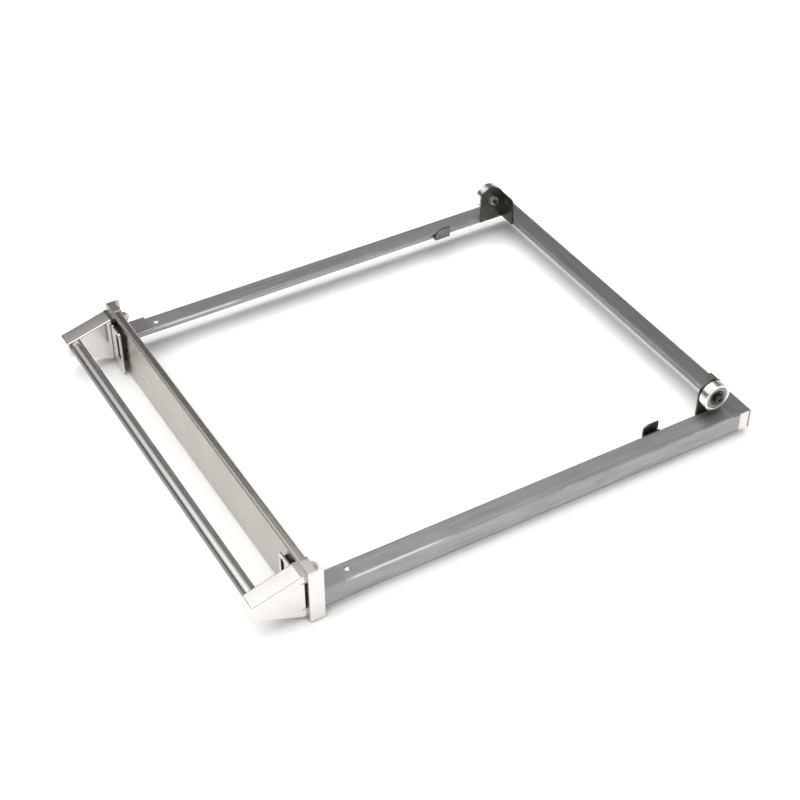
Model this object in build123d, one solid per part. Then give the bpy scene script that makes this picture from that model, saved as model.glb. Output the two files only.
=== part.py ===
from build123d import *
from build123d.topology import SkipClean
import os
import math

os.makedirs("parts", exist_ok=True)

# Roller drawer frame, millimetres, +Z up, +Y toward the rear, +X to the right.
# Every dimension that drives the shape is named here.

# overall layout (y values are measured from the front face of the handle brackets)
half_width = 254.5          # outside of each side rail
crossbar_back_y = 637.0     # rear face of the crossbar
y_shift = -0.5 * crossbar_back_y   # puts the middle of the whole frame on y = 0

# formed steel section shared by the side rails and the crossbar
sheet_t = 1.5
rail_top_z = 36.0
rail_bottom_z = 10.0
flange_w = 25.0
lip_h = 6.0
bend_r = 2.4
rail_front_y = 74.5
rail_flange_end_y = crossbar_back_y - flange_w
rail_web_end_y = 622.0
rest_front_y = 132.0        # the stretch of rail flange that is clear for a pan rim
rest_back_y = 574.0

# front panel, a shallow closed-edge channel
panel_half_w = 258.5
panel_front_y = 62.0
panel_depth = 10.5
panel_h = 71.0
panel_t = 1.5
panel_lip_top = 20.0
panel_lip_bottom = 18.0
panel_back_y = panel_front_y + panel_depth
clear_half_w = 204.0        # half of the clear face between the two bracket tabs

# end cap on each end of the panel
cap_t = 1.5
cap_back_y = 79.5
cap_bottom_z = 3.0
cap_top_w = 21.0
cap_top_t = 1.0

# handle bracket, a tapering hollow box with a flat mounting tab
box_outer_x = 254.5
box_inner_x = 232.5
box_wall = 2.0
box_front_y = 0.0
box_back_y = 57.5
box_front_top = 51.5
box_front_bottom = 34.0
box_back_top = 67.0
box_back_bottom = 8.0
tab_inner_x = 206.0
tab_top_z = 62.0
tab_bottom_z = 2.0
slot_x = 214.0
slot_w = 8.0
slot_top_z = 57.0
slot_bottom_z = 21.0

# rubber pad between bracket and panel
pad_top_z = 55.5
pad_bottom_z = 20.0
pad_inner_x = 208.0

# tubular handle
handle_d = 16.0
handle_wall = 1.5
handle_y = 11.0
handle_z = 44.0
plug_len = 18.0
plug_clear = 0.05
screw_d = 5.0

# bolts holding each bracket to the panel
bolt_d = 6.0
bolt_x = 240.5
bolt_z_top = 58.8
bolt_z_bottom = 14.0
bolt_head_r = 4.6
nut_af = 10.0
nut_h = 5.0

# clip joining each rail to the panel
clip_t = 1.5
clip_back_t = 2.0
clip_lap_t = 1.2
clip_inner_x = 232.5
clip_top_end_y = 106.0
clip_under_end_y = 128.0
clip_top_z = 68.0
clip_rivet_x = 240.5
clip_rivet_y = 116.5

# stop tab inside each rail
stop_front_y = 505.5
stop_back_y = 526.5
stop_t = 2.0
stop_inner_x = 223.0
stop_top_z = 44.0
stop_bottom_z = 28.5
stop_lip_top_z = 34.4
stop_round_r = 8.0
stop_rivet_z = 32.5

# corner bracket, an upright angle inside each rear corner
corner_t = 2.0
corner_front_y = 577.0
corner_bottom_z = 30.2
corner_leg_z = 66.5
corner_slope_r = 6.0
corner_foot_rivet_z = 32.4
corner_leg_x = 203.0
axle_y = 594.5
axle_z = 61.0
corner_round_r = 17.5
corner_rivet_x = 219.0
corner_rivet_z = 56.0

# bright end tab closing the open end of the crossbar
end_tab_t = 1.5
end_tab_top_z = 34.5
end_tab_bottom_z = 11.0

# ball-bearing roller
roller_r = 17.5
roller_w = 11.0
roller_gap = 1.0
axle_d = 6.3
axle_bore = 6.4
inner_race_r = 9.3
outer_race_r = 13.3
ball_d = 5.5
ball_pcd = 22.6
ball_n = 8
race_clear = 0.05
shield_t = 0.8
shield_inset = 0.4
shield_inner_r = 9.8
cage_in_r = 10.35
cage_out_r = 12.25
cage_w = 7.0
cage_clear = 0.05
roller_chamfer = 0.6
nut6_af = 11.0
nut6_h = 5.2
head_r = 6.2
head_h = 4.4

rail_inner_x = half_width - flange_w
lip_inner_x = rail_inner_x
roller_x0 = lip_inner_x + roller_gap
roller_x1 = roller_x0 + roller_w
roller_mid_x = 0.5 * (roller_x0 + roller_x1)


def block(x0, x1, y0, y1, z0, z1):
    size = (abs(x1 - x0), abs(y1 - y0), abs(z1 - z0))
    mid = (0.5 * (x0 + x1), 0.5 * (y0 + y1) + y_shift, 0.5 * (z0 + z1))
    return Pos(*mid) * Box(*size)


def rod_x(x0, x1, y, z, r):
    mid = (0.5 * (x0 + x1), y + y_shift, z)
    return Pos(*mid) * Rot(0, 90, 0) * Cylinder(r, abs(x1 - x0))


def rod_y(x, y0, y1, z, r):
    mid = (x, 0.5 * (y0 + y1) + y_shift, z)
    return Pos(*mid) * Rot(90, 0, 0) * Cylinder(r, abs(y1 - y0))


def rod_z(x, y, z0, z1, r):
    return Pos(x, y + y_shift, 0.5 * (z0 + z1)) * Cylinder(r, abs(z1 - z0))


def hex_x(x0, x1, y, z, af):
    face = RegularPolygon(radius=af / math.sqrt(3), side_count=6)
    bar = extrude(face, amount=abs(x1 - x0))
    bar = Rot(0, 90, 0) * bar
    return Pos(min(x0, x1), y + y_shift, z) * bar


def hex_y(x, y0, y1, z, af):
    face = RegularPolygon(radius=af / math.sqrt(3), side_count=6)
    bar = extrude(face, amount=abs(y1 - y0))
    bar = Rot(-90, 0, 0) * bar
    return Pos(x, min(y0, y1) + y_shift, z) * bar


def ring_x(x0, x1, y, z, r_out, r_in):
    return rod_x(x0, x1, y, z, r_out) - rod_x(x0 - 1, x1 + 1, y, z, r_in)


def plate_yz(points, x0, x1):
    pts = [(y + y_shift, z) for y, z in points]
    face = make_face(Polyline(*pts, close=True))
    solid = extrude(Plane.YZ * face, amount=abs(x1 - x0))
    return Pos(min(x0, x1), 0, 0) * solid


def left(shape):
    return mirror(shape, about=Plane.YZ)


def in_lengths(shape, cuts):
    # the same solid, its long faces parted at planes so that a clear stretch is its own face
    parts = [shape]
    for plane in cuts:
        halves = []
        for piece in parts:
            for side in (Keep.TOP, Keep.BOTTOM):
                half = piece.split(plane, keep=side)
                if half is not None and half.volume > 1:
                    halves.append(half)
        parts = halves
    out = parts[0]
    with SkipClean():
        for piece in parts[1:]:
            out = out.fuse(piece)
    return out


def section_path(flange_len):
    # cross-section of the formed channel: web, top flange, short inner lip
    top = rail_top_z
    outer = Polyline(
        (0, rail_bottom_z), (0, top), (-flange_len, top),
        (-flange_len, top - lip_h), (-flange_len + sheet_t, top - lip_h),
        (-flange_len + sheet_t, top - sheet_t), (-sheet_t, top - sheet_t),
        (-sheet_t, rail_bottom_z), close=True)
    return make_face(outer)


def rail_right():
    face = section_path(flange_w)
    length = rail_flange_end_y - rail_front_y
    bar = extrude(Plane.XZ * face, amount=-length)
    bar = Pos(half_width, rail_front_y + y_shift, 0) * bar
    web = block(half_width - sheet_t, half_width, rail_flange_end_y - 1, rail_web_end_y,
                rail_bottom_z, rail_top_z - sheet_t)
    long_edges = [e for e in bar.edges().filter_by(Axis.Y)]
    outer_bend = [e for e in long_edges if abs(e.center().X - half_width) < 0.01
                  and abs(e.center().Z - rail_top_z) < 0.01]
    bar = fillet(outer_bend, bend_r)
    long_edges = [e for e in bar.edges().filter_by(Axis.Y)]
    inner_bend = [e for e in long_edges if abs(e.center().X - half_width + sheet_t) < 0.01
                  and abs(e.center().Z - rail_top_z + sheet_t) < 0.01]
    bar = fillet(inner_bend, bend_r - sheet_t)
    long_edges = [e for e in bar.edges().filter_by(Axis.Y)]
    lip_bend = [e for e in long_edges if abs(e.center().X - rail_inner_x) < 0.01
                and abs(e.center().Z - rail_top_z) < 0.01]
    bar = fillet(lip_bend, bend_r)
    bar = bar + web
    bar -= rod_z(clip_rivet_x, clip_rivet_y, 30, 40, 2.0)
    for y in (stop_front_y + 6, stop_back_y - 6):
        bar -= rod_x(rail_inner_x - 1, rail_inner_x + 4, y, stop_rivet_z, 1.2)
    for y in (corner_front_y + 8, corner_front_y + 27):
        bar -= rod_x(rail_inner_x - 1, rail_inner_x + 4, y, corner_foot_rivet_z, 1.2)
    return in_lengths(bar, [Plane.XZ.offset(-(y + y_shift)) for y in (rest_front_y, rest_back_y)])


def rear_crossbar():
    face = section_path(flange_w)
    bar = extrude(Plane.YZ * face, amount=2 * half_width)
    bar = Pos(-half_width, crossbar_back_y + y_shift, 0) * bar
    edges = [e for e in bar.edges().filter_by(Axis.X)]
    y_back = crossbar_back_y + y_shift
    y_front = y_back - flange_w
    bends = [e for e in edges if abs(e.center().Z - rail_top_z) < 0.01
             and (abs(e.center().Y - y_back) < 0.01 or abs(e.center().Y - y_front) < 0.01)]
    bar = fillet(bends, bend_r)
    for s in (1, -1):
        web_x = s * (half_width - sheet_t)
        bar -= block(web_x, s * (half_width + 1), crossbar_back_y - flange_w - 1,
                     rail_web_end_y + 0.0, rail_bottom_z - 1, rail_top_z - sheet_t)
        for x in (208.0, 223.0):
            bar -= rod_y(s * x, crossbar_back_y - flange_w - 1, crossbar_back_y - flange_w + 4,
                         corner_foot_rivet_z, 1.2)
    return bar


def crossbar_end_tab():
    x0 = half_width - end_tab_t
    y1 = crossbar_back_y - sheet_t
    tab = block(x0, half_width, rail_web_end_y, y1, end_tab_bottom_z, end_tab_top_z)
    ear = block(half_width - 14, half_width - end_tab_t, y1 - end_tab_t, y1,
                end_tab_bottom_z, end_tab_top_z)
    return tab + ear


def front_panel():
    y0 = panel_front_y
    y1 = panel_back_y
    w = panel_half_w
    skin = block(-w, w, y0, y1, 0, panel_h)
    skin -= block(-w - 1, w + 1, y0 + panel_t, y1 - panel_t, panel_t, panel_h - panel_t)
    skin -= block(-w - 1, w + 1, y1 - panel_t - 1, y1 + 1, panel_lip_bottom,
                  panel_h - panel_lip_top)
    edges = [e for e in skin.edges().filter_by(Axis.X)]
    yf = y0 + y_shift
    yb = y1 + y_shift
    corners = [e for e in edges if (abs(e.center().Y - yf) < 0.01 or abs(e.center().Y - yb) < 0.01)
               and (abs(e.center().Z) < 0.01 or abs(e.center().Z - panel_h) < 0.01)]
    skin = fillet(corners, 1.3)
    for s in (1, -1):
        for z in (bolt_z_top, bolt_z_bottom):
            skin -= rod_y(s * bolt_x, y0 - 1, y1 + 1, z, bolt_d / 2 + 0.1)
    return in_lengths(skin, [Plane.YZ.offset(s * clear_half_w) for s in (1, -1)])


def panel_end_cap():
    x0 = panel_half_w
    x1 = panel_half_w + cap_t
    side = block(x0, x1, panel_front_y, cap_back_y, cap_bottom_z, panel_h + cap_top_t)
    top = block(x1 - cap_top_w, x1, panel_front_y + 0.6, panel_back_y, panel_h,
                panel_h + cap_top_t)
    cap = side + top
    return cap


def handle_bracket():
    outer = [(box_front_y, box_front_bottom), (box_back_y, box_back_bottom),
             (box_back_y, box_back_top), (box_front_y, box_front_top)]
    body = plate_yz(outer, box_inner_x, box_outer_x)
    ends = [e for e in body.edges().filter_by(Axis.X)
            if abs(e.center().Y - y_shift - box_front_y) < 0.01]
    body = fillet(ends, 2.5)
    t = box_wall
    rise = (box_back_top - box_front_top) / box_back_y
    drop = (box_front_bottom - box_back_bottom) / box_back_y
    top_in = box_front_top + rise * t - t * math.sqrt(1 + rise * rise)
    top_in_b = box_back_top - rise * t - t * math.sqrt(1 + rise * rise)
    inner = [(t, box_front_bottom - 8), (box_back_y - t, box_back_bottom - 12),
             (box_back_y - t, top_in_b), (t, top_in)]
    body -= plate_yz(inner, box_inner_x + t, box_outer_x - t)
    flange = block(tab_inner_x, box_inner_x + t, box_back_y - t, box_back_y,
                   tab_bottom_z, tab_top_z)
    keep = [e for e in flange.edges().filter_by(Axis.Y)
            if abs(e.center().X - tab_inner_x) < 0.01]
    flange = fillet(keep, 3.0)
    body = body + flange
    slot = block(slot_x - slot_w / 2, slot_x + slot_w / 2, box_back_y - t - 1, box_back_y + 1,
                 slot_bottom_z + slot_w / 2, slot_top_z - slot_w / 2)
    body -= slot
    for z in (slot_bottom_z + slot_w / 2, slot_top_z - slot_w / 2):
        body -= rod_y(slot_x, box_back_y - t - 1, box_back_y + 1, z, slot_w / 2)
    for z in (bolt_z_top, bolt_z_bottom):
        body -= rod_y(bolt_x, box_back_y - t - 1, box_back_y + 1, z, bolt_d / 2 + 0.1)
    body -= rod_x(box_inner_x - 1, box_inner_x + t + 1, handle_y, handle_z, screw_d / 2 + 0.1)
    body += block(box_inner_x, box_outer_x, box_back_y - 0.5, panel_front_y,
                  box_back_top - t, box_back_top)
    for low, high in ((pad_top_z + 0.5, box_back_top), (box_back_bottom, pad_bottom_z - 0.5)):
        body += block(box_outer_x - t, box_outer_x, box_back_y - 0.5, panel_front_y, low, high)
    return body


def bracket_pad():
    return block(pad_inner_x, box_outer_x, box_back_y, panel_front_y, pad_bottom_z, pad_top_z)


def handle_tube():
    r = handle_d / 2
    tube = rod_x(-box_inner_x, box_inner_x, handle_y, handle_z, r)
    tube -= rod_x(-box_inner_x - 1, box_inner_x + 1, handle_y, handle_z, r - handle_wall)
    return tube


def handle_plugs():
    r = handle_d / 2 - handle_wall
    out = []
    for s in (1, -1):
        a = s * (box_inner_x - plug_len)
        b = s * box_inner_x
        plug = rod_x(a, b, handle_y, handle_z, r)
        plug -= rod_x(s * (box_inner_x - 13), s * (box_inner_x + 1), handle_y, handle_z,
                      screw_d / 2)
        out.append(plug)
    return Compound(children=out)


def handle_screws():
    out = []
    for s in (1, -1):
        head_x0 = s * (box_inner_x + box_wall)
        head = rod_x(head_x0, head_x0 + s * 3.0, handle_y, handle_z, 4.5)
        shank = rod_x(s * (box_inner_x - 12), head_x0, handle_y, handle_z, screw_d / 2)
        drive = hex_x(head_x0 + s * 1.2, head_x0 + s * 4.0, handle_y, handle_z, 3.0)
        out.append(head + shank - drive)
    return Compound(children=out)


def bracket_bolts():
    out = []
    for s in (1, -1):
        for z in (bolt_z_top, bolt_z_bottom):
            y_head = box_back_y - box_wall
            head = rod_y(s * bolt_x, y_head - 2.6, y_head, z, bolt_head_r)
            drive = hex_y(s * bolt_x, y_head - 3.0, y_head - 1.2, z, 3.5)
            y_tip = panel_back_y + clip_back_t + nut_h + 2.5
            shank = rod_y(s * bolt_x, y_head, y_tip, z, bolt_d / 2)
            out.append(head + shank - drive)
    return Compound(children=out)


def bracket_nuts():
    out = []
    for s in (1, -1):
        for z in (bolt_z_top, bolt_z_bottom):
            nut = hex_y(s * bolt_x, panel_back_y + clip_back_t, panel_back_y + clip_back_t + nut_h,
                        z, nut_af)
            nut -= rod_y(s * bolt_x, panel_back_y, panel_back_y + 12, z, bolt_d / 2)
            out.append(nut)
    return Compound(children=out)


def front_clip():
    y0 = panel_back_y
    y1 = y0 + clip_back_t
    x1 = half_width
    back = block(clip_inner_x, x1, y0, y1, rail_bottom_z, clip_top_z)
    under_top = rail_top_z - sheet_t
    under = block(clip_inner_x + 2, x1 - 4.5, y0, clip_under_end_y, under_top - clip_t, under_top)
    over = block(clip_inner_x, x1 + clip_lap_t, y0, clip_top_end_y, rail_top_z, rail_top_z + clip_t)
    lap = block(x1, x1 + clip_lap_t, y0, clip_top_end_y, rail_top_z - 3.0, rail_top_z + clip_t)
    clip = back + under + over + lap
    corner = [e for e in clip.edges().filter_by(Axis.Y)
              if abs(e.center().X - x1 - clip_lap_t) < 0.01
              and abs(e.center().Z - rail_top_z - clip_t) < 0.01]
    clip = fillet(corner, 1.0)
    for z in (bolt_z_top, bolt_z_bottom):
        clip -= rod_y(bolt_x, y0 - 1, y1 + 1, z, bolt_d / 2 + 0.1)
    clip -= rod_z(clip_rivet_x, clip_rivet_y, 30, 40, 2.0)
    return clip


def dome(r, h):
    # low rivet head, flat side on z = 0
    big = (r * r + h * h) / (2 * h)
    ball = Pos(0, 0, h - big) * Sphere(big)
    keep = Pos(0, 0, h) * Box(4 * r, 4 * r, 2 * h)
    return ball & keep


def clip_rivets():
    out = []
    for s in (1, -1):
        shank = rod_z(s * clip_rivet_x, clip_rivet_y, rail_top_z - sheet_t - clip_t, rail_top_z,
                      2.0)
        head = Pos(s * clip_rivet_x, clip_rivet_y + y_shift, rail_top_z) * dome(3.6, 1.3)
        low = rail_top_z - sheet_t - clip_t
        foot = Pos(s * clip_rivet_x, clip_rivet_y + y_shift, low) * Rot(180, 0, 0) * dome(3.2, 1.2)
        out.append(shank + head + foot)
    return Compound(children=out)


def stop_tab():
    x_lip = lip_inner_x
    outer_leg = block(x_lip - stop_t, x_lip, stop_front_y, stop_back_y, stop_bottom_z,
                      stop_lip_top_z)
    foot = block(stop_inner_x, x_lip, stop_front_y, stop_back_y, stop_bottom_z,
                 stop_bottom_z + stop_t)
    blade = block(stop_inner_x, stop_inner_x + stop_t, stop_front_y, stop_back_y, stop_bottom_z,
                  stop_top_z)
    edge = [e for e in blade.edges().filter_by(Axis.X)
            if abs(e.center().Y - y_shift - stop_front_y) < 0.01
            and abs(e.center().Z - stop_top_z) < 0.01]
    blade = fillet(edge, stop_round_r)
    tab = outer_leg + foot + blade
    bends = [e for e in tab.edges().filter_by(Axis.Y)
             if abs(e.center().Z - stop_bottom_z) < 0.01
             and (abs(e.center().X - stop_inner_x) < 0.01 or abs(e.center().X - x_lip) < 0.01)]
    tab = fillet(bends, 1.6)
    for y in (stop_front_y + 6, stop_back_y - 6):
        tab -= rod_x(x_lip - stop_t - 0.5, x_lip + 1, y, stop_rivet_z, 1.2)
    return tab


def lip_rivet_x(s, y, z, grip):
    # small rivet through an upright leg and the rail lip, head on the inboard side
    x_in = s * (lip_inner_x - grip)
    x_out = s * (lip_inner_x + sheet_t)
    shank = rod_x(x_in, x_out, y, z, 1.2)
    turn = Rot(0, -90 * s, 0)
    head = Pos(x_in, y + y_shift, z) * turn * dome(1.8, 0.9)
    tail = Pos(x_out, y + y_shift, z) * Rot(0, 90 * s, 0) * dome(1.7, 0.8)
    return shank + head + tail


def stop_rivets():
    out = []
    for s in (1, -1):
        for y in (stop_front_y + 6, stop_back_y - 6):
            out.append(lip_rivet_x(s, y, stop_rivet_z, stop_t))
    return Compound(children=out)


def corner_bracket():
    x0 = lip_inner_x - corner_t
    x1 = lip_inner_x
    y_lip = crossbar_back_y - flange_w
    y_in = y_lip - corner_t
    leg = block(x0, x1, corner_front_y, y_lip, corner_bottom_z, axle_z)
    cheek = rod_x(x0, x1, axle_y, axle_z, corner_round_r)
    rear = block(x0, x1, axle_y, y_lip, axle_z, corner_leg_z)
    leg = leg + cheek + rear
    trim = block(x0 - 1, x1 + 1, y_lip, y_lip + 30, 0, 120)
    leg = leg - trim
    wing = block(corner_leg_x, x1, y_in, y_lip, corner_bottom_z, corner_leg_z)
    edge = [e for e in wing.edges().filter_by(Axis.Y)
            if abs(e.center().X - corner_leg_x) < 0.01 and abs(e.center().Z - corner_leg_z) < 0.01]
    wing = fillet(edge, corner_slope_r)
    part = leg + wing
    part -= rod_x(x0 - 1, x1 + 1, axle_y, axle_z, axle_d / 2 + 0.1)
    part -= rod_y(corner_rivet_x, y_in - 1, y_lip + 1, corner_rivet_z, 2.3)
    for y in (corner_front_y + 8, corner_front_y + 27):
        part -= rod_x(x0 - 1, x1 + 1, y, corner_foot_rivet_z, 1.2)
    for x in (208.0, 223.0):
        part -= rod_y(x, y_in - 1, y_lip + 1, corner_foot_rivet_z, 1.2)
    return part


def corner_rivets():
    out = []
    y_lip = crossbar_back_y - flange_w
    for s in (1, -1):
        for y in (corner_front_y + 8, corner_front_y + 27):
            out.append(lip_rivet_x(s, y, corner_foot_rivet_z, corner_t))
        for x in (208.0, 223.0):
            shank = rod_y(s * x, y_lip - corner_t, y_lip + sheet_t, corner_foot_rivet_z, 1.2)
            place = Pos(s * x, y_lip - corner_t + y_shift, corner_foot_rivet_z)
            head = place * Rot(90, 0, 0) * dome(1.8, 0.9)
            back = Pos(s * x, y_lip + sheet_t + y_shift, corner_foot_rivet_z)
            tail = back * Rot(-90, 0, 0) * dome(1.7, 0.8)
            out.append(shank + head + tail)
    return Compound(children=out)


def groove_torus(clear):
    # toroidal raceway cutter on the roller axis
    ring = Torus(ball_pcd / 2, ball_d / 2 + clear)
    return Pos(roller_mid_x, axle_y + y_shift, axle_z) * Rot(0, 90, 0) * ring


def roller_rim():
    rim = rod_x(roller_x0, roller_x1, axle_y, axle_z, roller_r)
    rim -= rod_x(roller_x0 - 1, roller_x1 + 1, axle_y, axle_z, outer_race_r)
    edges = [e for e in rim.edges().filter_by(GeomType.CIRCLE) if abs(e.radius - roller_r) < 0.01]
    rim = chamfer(edges, roller_chamfer)
    rim -= groove_torus(race_clear)
    for a, b in ((shield_inset, shield_inset + shield_t),
                 (roller_w - shield_inset - shield_t, roller_w - shield_inset)):
        rim -= ring_x(roller_x0 + a, roller_x0 + b, axle_y, axle_z, outer_race_r + 0.6,
                      outer_race_r - 1)
    return rim


def roller_inner_race():
    race = rod_x(roller_x0, roller_x1, axle_y, axle_z, inner_race_r)
    race -= rod_x(roller_x0 - 1, roller_x1 + 1, axle_y, axle_z, axle_bore / 2)
    edges = [e for e in race.edges().filter_by(GeomType.CIRCLE)
             if abs(e.radius - inner_race_r) < 0.01]
    race = chamfer(edges, 0.4)
    race -= groove_torus(race_clear)
    return race


def roller_shields():
    out = []
    for a, b in ((shield_inset, shield_inset + shield_t),
                 (roller_w - shield_inset - shield_t, roller_w - shield_inset)):
        out.append(ring_x(roller_x0 + a, roller_x0 + b, axle_y, axle_z, outer_race_r + 0.6,
                          shield_inner_r))
    return Compound(children=out)


def ball_centre(i):
    ang = 2 * math.pi * i / ball_n
    y = axle_y + 0.5 * ball_pcd * math.cos(ang)
    z = axle_z + 0.5 * ball_pcd * math.sin(ang)
    return (roller_mid_x, y + y_shift, z)


def roller_balls():
    return Compound(children=[Pos(*ball_centre(i)) * Sphere(ball_d / 2) for i in range(ball_n)])


def roller_cage():
    a = roller_mid_x - cage_w / 2
    b = roller_mid_x + cage_w / 2
    cage = ring_x(a, b, axle_y, axle_z, cage_out_r, cage_in_r)
    for i in range(ball_n):
        cage -= Pos(*ball_centre(i)) * Sphere(ball_d / 2 + cage_clear)
    return cage


def roller_bolt():
    x_head = roller_x1
    x_end = lip_inner_x - corner_t - nut6_h - 2.5
    shank = rod_x(x_end, x_head, axle_y, axle_z, axle_d / 2)
    tip = [e for e in shank.edges().filter_by(GeomType.CIRCLE)
           if abs(e.center().X - x_end) < 0.01]
    shank = chamfer(tip, 0.6)
    head = rod_x(x_head, x_head + head_h, axle_y, axle_z, head_r)
    rim = [e for e in head.edges().filter_by(GeomType.CIRCLE)
           if abs(e.center().X - x_head - head_h) < 0.01]
    head = fillet(rim, 1.4)
    drive = hex_x(x_head + head_h - 2.4, x_head + head_h + 1, axle_y, axle_z, 4.0)
    return head + shank - drive


def roller_spacer():
    return ring_x(lip_inner_x, roller_x0, axle_y, axle_z, 6.4, axle_bore / 2)


def roller_nuts():
    x1 = lip_inner_x - corner_t
    nut = hex_x(x1 - nut6_h, x1, axle_y, axle_z, nut6_af)
    nut -= rod_x(x1 - nut6_h - 1, x1 + 1, axle_y, axle_z, axle_d / 2)
    return Compound(children=[nut, left(nut)])


def pair(name, make):
    shape = make()
    export_step(shape, "parts/" + name + "_right.step")
    export_step(left(shape), "parts/" + name + "_left.step")


def single(name, make):
    export_step(make(), "parts/" + name + ".step")


pair("rail", rail_right)
single("rear_crossbar", rear_crossbar)
pair("crossbar_end_tab", crossbar_end_tab)
single("front_panel", front_panel)
pair("panel_end_cap", panel_end_cap)
pair("handle_bracket", handle_bracket)
pair("bracket_pad", bracket_pad)
single("handle_tube", handle_tube)
single("handle_plugs", handle_plugs)
single("handle_screws", handle_screws)
single("bracket_bolts", bracket_bolts)
single("bracket_nuts", bracket_nuts)
pair("front_clip", front_clip)
single("clip_rivets", clip_rivets)
pair("stop_tab", stop_tab)
single("stop_rivets", stop_rivets)
pair("corner_bracket", corner_bracket)
single("corner_rivets", corner_rivets)
pair("roller_rim", roller_rim)
pair("roller_inner_race", roller_inner_race)
pair("roller_shields", roller_shields)
pair("roller_balls", roller_balls)
pair("roller_cage", roller_cage)
pair("roller_bolt", roller_bolt)
pair("roller_spacer", roller_spacer)
single("roller_nuts", roller_nuts)
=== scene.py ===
import math

import bmesh
import bpy
from mathutils import Matrix, Vector


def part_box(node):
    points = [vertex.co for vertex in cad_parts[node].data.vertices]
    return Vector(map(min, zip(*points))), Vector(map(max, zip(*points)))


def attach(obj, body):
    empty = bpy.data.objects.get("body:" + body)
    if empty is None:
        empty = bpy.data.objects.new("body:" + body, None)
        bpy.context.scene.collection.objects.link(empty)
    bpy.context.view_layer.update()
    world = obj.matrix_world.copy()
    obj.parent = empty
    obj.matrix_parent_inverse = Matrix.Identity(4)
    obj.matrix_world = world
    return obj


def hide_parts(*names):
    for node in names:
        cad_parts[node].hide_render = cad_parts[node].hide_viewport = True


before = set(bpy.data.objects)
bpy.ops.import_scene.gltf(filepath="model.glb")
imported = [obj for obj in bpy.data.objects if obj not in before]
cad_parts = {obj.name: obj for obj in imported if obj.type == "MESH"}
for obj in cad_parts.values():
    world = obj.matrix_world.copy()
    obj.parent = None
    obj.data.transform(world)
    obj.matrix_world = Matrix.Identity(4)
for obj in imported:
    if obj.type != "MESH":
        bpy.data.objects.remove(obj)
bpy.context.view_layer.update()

bl_info = {
    "name": "Roller drawer frame",
    "version": (1, 0, 0),
    "blender": (4, 5, 0),
    "location": "View3D > Sidebar > Drawer Frame",
    "description": "Builds the visible pieces of a roller drawer frame round its CAD frame",
    "category": "Add Mesh",
}

MM = 0.001
SIDES = (("right", 1.0), ("left", -1.0))
FRONT_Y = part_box("handle_bracket_right")[0].y / MM     # front of the handle brackets, mm
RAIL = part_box("rail_right")
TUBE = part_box("handle_tube")
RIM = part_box("roller_rim_right")
AXLE = (RIM[0] + RIM[1]) / 2
RAIL_OUTER = 254.5       # outer faces of the rails and ends of the crossbar, mm
RAIL_FOOT, RAIL_TOP = 10.0, 36.0        # foot and top of the rails and the crossbar, mm
LIP_FOOT = 30.0          # foot of the short lip under each flange's edge, mm
RAIL_FRONT = 74.5        # front of the rails, mm
CROSSBAR_BACK = 637.0    # back of the crossbar, mm
PANEL_END = 258.5        # ends of the front panel, mm
PANEL_FRONT, PANEL_BACK, PANEL_TOP = 62.0, 72.5, 71.0   # faces of the front panel, mm
BEND_HIGHLIGHT_MIDDLE = -150.0     # middle of the painted highlight on the bend at the front of the rails, mm
HIGHLIGHT_AND_WEAR_HEIGHT = 34.6       # height of the line on the folds painted with a highlight and worn patches, mm
TUBE_MIDDLE = (TUBE[0] + TUBE[1]) / 2
BOX_INNER, BOX_OUTER = 232.5, 254.5     # sides of a handle bracket's box, mm
BOX_BACK = 57.5          # back of a handle bracket's box, mm
SEAT_BACK = 61.95        # back of the seats that rest on the front panel, mm
SEAT_FRONT = 55.95       # front of the seats, inside the rounded corner of the box, mm
PAD_SHORT = 2.1          # how far a pad's outer end stays inside the bracket's leg, mm
BALL_CIRCLE = 11.3       # radius through the balls' centres, mm
GROOVE = 2.8             # radius of the ball groove, mm
SKY_LEAN = (0.0, -0.45, 1.0)            # the bands of the sky lean towards the front
# pale at the horizon, dark above it and bright overhead
SKY_LEVELS = ((0.0, 0.30), (0.10, 0.11), (0.20, 0.05), (0.68, 0.05), (0.73, 0.46),
              (0.80, 0.52), (0.92, 1.0))


def at(x, y, z):
    """A point in metres from millimetres, with y counted from the front of the brackets."""
    return Vector((x * MM, (y + FRONT_Y) * MM, z * MM))


# ---------------------------------------------------------------- shader arithmetic


class Wire:
    """A socket that can be used in arithmetic; each operator adds one Math node."""

    def __init__(self, finish, socket):
        self.finish = finish
        self.socket = socket

    def _math(self, operation, first, second=0.0):
        return self.finish.node("ShaderNodeMath", {"operation": operation},
                                {0: first, 1: second})

    def __add__(self, other):
        return self._math("ADD", self, other)

    def __radd__(self, other):
        return self._math("ADD", other, self)

    def __sub__(self, other):
        return self._math("SUBTRACT", self, other)

    def __rsub__(self, other):
        return self._math("SUBTRACT", other, self)

    def __mul__(self, other):
        return self._math("MULTIPLY", self, other)

    def __rmul__(self, other):
        return self._math("MULTIPLY", other, self)

    def __pow__(self, other):
        return self._math("POWER", self, other)

    def __rpow__(self, other):
        return self._math("POWER", other, self)

    def __abs__(self):
        return self._math("ABSOLUTE", self)

    def step(self, low, high):
        """0 below low and 1 above high, smooth between."""
        return self.finish.node("ShaderNodeMapRange",
                                {"interpolation_type": "SMOOTHSTEP", "clamp": True},
                                {"Value": self, "From Min": low, "From Max": high})

    def band(self, centre, half, soft):
        """1 within half of centre, fading out over soft."""
        return 1 - abs(self - centre).step(half, half + soft)


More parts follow.
